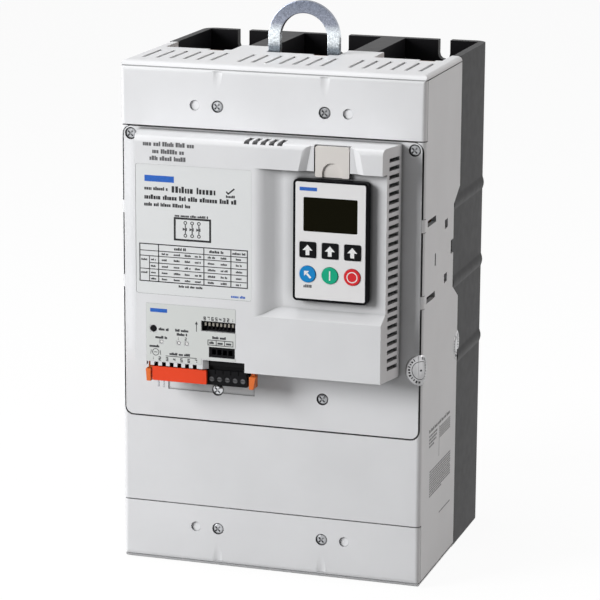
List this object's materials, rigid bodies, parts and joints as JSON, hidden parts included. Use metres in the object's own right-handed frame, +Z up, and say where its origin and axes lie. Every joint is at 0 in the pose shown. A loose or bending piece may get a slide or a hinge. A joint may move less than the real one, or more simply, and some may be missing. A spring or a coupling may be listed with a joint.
{
  "type": "soft starter",
  "caption": "Three-pole soft starter for motors: tall grey housing on a black base, raised control module with keypad, terminal covers with cable bays, lifting hoop.",
  "frame": {"origin": "middle of the whole part's box, at its lowest face", "axes": "+Z up along the height, +Y from the keypad to the mounting face, +X to the right seen from the front"},
  "size_m": [0.196, 0.182, 0.356],
  "materials": {
    "grey_plastic": "fine moulded texture",
    "black_plastic": "moulded texture",
    "zinc_steel": "zinc plated",
    "faceplate": "satin film",
    "display_glass": "dark clear window",
    "circuit_board": "solder mask",
    "beige_plastic": "satin",
    "key_black": "satin",
    "key_blue": "satin",
    "key_green": "satin",
    "key_red": "satin",
    "white_plastic": "satin",
    "orange_plastic": "satin",
    "aluminium": "as extruded",
    "inner_plastic": "moulded",
    "copper": "bare copper"
  },
  "bodies": {
    "housing": {"main_housing": "grey_plastic", "base_housing": "black_plastic", "upper_cover": "grey_plastic", "lower_cover": "grey_plastic", "control_cover": "grey_plastic", "lifting_hoop": "zinc_steel", "upper_cover_screws": "zinc_steel", "lower_cover_screws": "zinc_steel", "panel_screws": "zinc_steel", "board_screws": "zinc_steel", "control_board": "circuit_board", "dip_switch_block": "black_plastic", "expansion_port": "black_plastic", "status_light_pipes": "white_plastic", "terminal_header": "black_plastic", "driver_board": "circuit_board", "heat_sink": "aluminium", "thyristor_module_1": "inner_plastic", "thyristor_module_2": "inner_plastic", "thyristor_module_3": "inner_plastic", "bypass_contactor_1": "inner_plastic", "bypass_contactor_2": "inner_plastic", "bypass_contactor_3": "inner_plastic", "line_busbar_1": "copper", "line_busbar_2": "copper", "line_busbar_3": "copper", "load_busbar_1": "copper", "load_busbar_2": "copper", "load_busbar_3": "copper", "current_transformer_1": "inner_plastic", "current_transformer_2": "inner_plastic", "current_transformer_3": "inner_plastic"},
    "keypad": {"keypad_body": "black_plastic", "keypad_faceplate": "faceplate", "lcd_window": "display_glass", "keypad_board": "circuit_board"},
    "latch": {"keypad_latch": "beige_plastic"},
    "reset": {"reset_button": "black_plastic"},
    "plug": {"terminal_plug": "black_plastic", "terminal_screws": "zinc_steel", "terminal_guard": "orange_plastic", "jumper_link": "zinc_steel"},
    "lever_left": {"release_lever_left": "orange_plastic"},
    "lever_right": {"release_lever_right": "orange_plastic"},
    "arrow_key_left": {"arrow_key_left": "key_black"},
    "arrow_key_middle": {"arrow_key_middle": "key_black"},
    "arrow_key_right": {"arrow_key_right": "key_black"},
    "escape_key": {"escape_key": "key_blue"},
    "start_key": {"start_key": "key_green"},
    "stop_key": {"stop_key": "key_red"},
    "dip_slider_1": {"dip_slider_1": "white_plastic"},
    "dip_slider_2": {"dip_slider_2": "white_plastic"},
    "dip_slider_3": {"dip_slider_3": "white_plastic"},
    "dip_slider_4": {"dip_slider_4": "white_plastic"},
    "dip_slider_5": {"dip_slider_5": "white_plastic"},
    "dip_slider_6": {"dip_slider_6": "white_plastic"},
    "dip_slider_7": {"dip_slider_7": "white_plastic"},
    "dip_slider_8": {"dip_slider_8": "white_plastic"}
  },
  "joints": [
    {"name": "keypad_pull", "type": "slide", "parent": "housing", "child": "keypad", "axis": [0, -1, 0], "range_m": [0, 0.025]},
    {"name": "latch_turn", "type": "hinge", "parent": "housing", "child": "latch", "pos_m": [0.0457, -0.0865, 0.2785], "axis": [-1, 0, 0], "range_deg": [0, 10], "stiffness_Nm_per_rad": 0.05},
    {"name": "reset_press", "type": "slide", "parent": "housing", "child": "reset", "axis": [0, 1, 0], "range_m": [0, 0.0015], "stiffness_N_per_m": 600},
    {"name": "plug_pull", "type": "slide", "parent": "housing", "child": "plug", "axis": [0, 0, -1], "range_m": [0, 0.012]},
    {"name": "left_lever_turn", "type": "hinge", "parent": "housing", "child": "lever_left", "pos_m": [-0.07238, -0.08235, 0.1409], "axis": [0, 1, 0], "range_deg": [0, 25]},
    {"name": "right_lever_turn", "type": "hinge", "parent": "housing", "child": "lever_right", "pos_m": [-0.00502, -0.08235, 0.1409], "axis": [0, -1, 0], "range_deg": [0, 25]},
    {"name": "left_arrow_press", "type": "slide", "parent": "keypad", "child": "arrow_key_left", "axis": [0, 1, 0], "range_m": [0, 0.0005], "stiffness_N_per_m": 1200},
    {"name": "middle_arrow_press", "type": "slide", "parent": "keypad", "child": "arrow_key_middle", "axis": [0, 1, 0], "range_m": [0, 0.0005], "stiffness_N_per_m": 1200},
    {"name": "right_arrow_press", "type": "slide", "parent": "keypad", "child": "arrow_key_right", "axis": [0, 1, 0], "range_m": [0, 0.0005], "stiffness_N_per_m": 1200},
    {"name": "escape_press", "type": "slide", "parent": "keypad", "child": "escape_key", "axis": [0, 1, 0], "range_m": [0, 0.0005], "stiffness_N_per_m": 1200},
    {"name": "start_press", "type": "slide", "parent": "keypad", "child": "start_key", "axis": [0, 1, 0], "range_m": [0, 0.0005], "stiffness_N_per_m": 1200},
    {"name": "stop_press", "type": "slide", "parent": "keypad", "child": "stop_key", "axis": [0, 1, 0], "range_m": [0, 0.0005], "stiffness_N_per_m": 1200},
    {"name": "dip_slider_1_set", "type": "slide", "parent": "housing", "child": "dip_slider_1", "axis": [0, 0, 1], "range_m": [-0.002, 0]},
    {"name": "dip_slider_2_set", "type": "slide", "parent": "housing", "child": "dip_slider_2", "axis": [0, 0, 1], "range_m": [-0.002, 0]},
    {"name": "dip_slider_3_set", "type": "slide", "parent": "housing", "child": "dip_slider_3", "axis": [0, 0, 1], "range_m": [-0.002, 0]},
    {"name": "dip_slider_4_set", "type": "slide", "parent": "housing", "child": "dip_slider_4", "axis": [0, 0, 1], "range_m": [-0.002, 0]},
    {"name": "dip_slider_5_set", "type": "slide", "parent": "housing", "child": "dip_slider_5", "axis": [0, 0, 1], "range_m": [-0.002, 0]},
    {"name": "dip_slider_6_set", "type": "slide", "parent": "housing", "child": "dip_slider_6", "axis": [0, 0, 1], "range_m": [-0.002, 0]},
    {"name": "dip_slider_7_set", "type": "slide", "parent": "housing", "child": "dip_slider_7", "axis": [0, 0, 1], "range_m": [-0.002, 0]},
    {"name": "dip_slider_8_set", "type": "slide", "parent": "housing", "child": "dip_slider_8", "axis": [0, 0, 1], "range_m": [-0.002, 0]}
  ]
}
